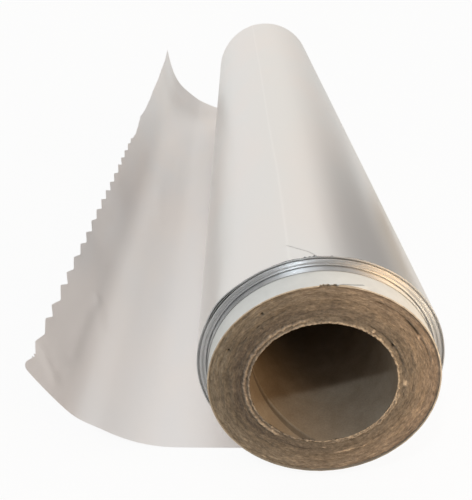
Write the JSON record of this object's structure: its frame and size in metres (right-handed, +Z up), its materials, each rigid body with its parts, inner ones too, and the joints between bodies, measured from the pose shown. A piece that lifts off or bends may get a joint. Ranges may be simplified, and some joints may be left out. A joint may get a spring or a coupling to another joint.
{
  "type": "aluminium foil roll",
  "caption": "Roll of plain aluminium foil wound on a thick cardboard tube, with a torn free end that lies flat beside the roll and curls up.",
  "frame": {"origin": "middle of the core's bore, on the roll's axis", "axes": "+Y along the roll's axis to the end away from the pictured one, +Z up, and the foil's free end leaves the bottom of the roll towards -X"},
  "size_m": [0.0944, 0.3156, 0.0548],
  "materials": {
    "foil": "satin, dull side out",
    "board": "raw laminated board",
    "white_paper": "matt"
  },
  "bodies": {
    "root": {"foil_roll": "foil", "core_board": "board", "core_cover": "white_paper"}
  },
  "joints": []
}
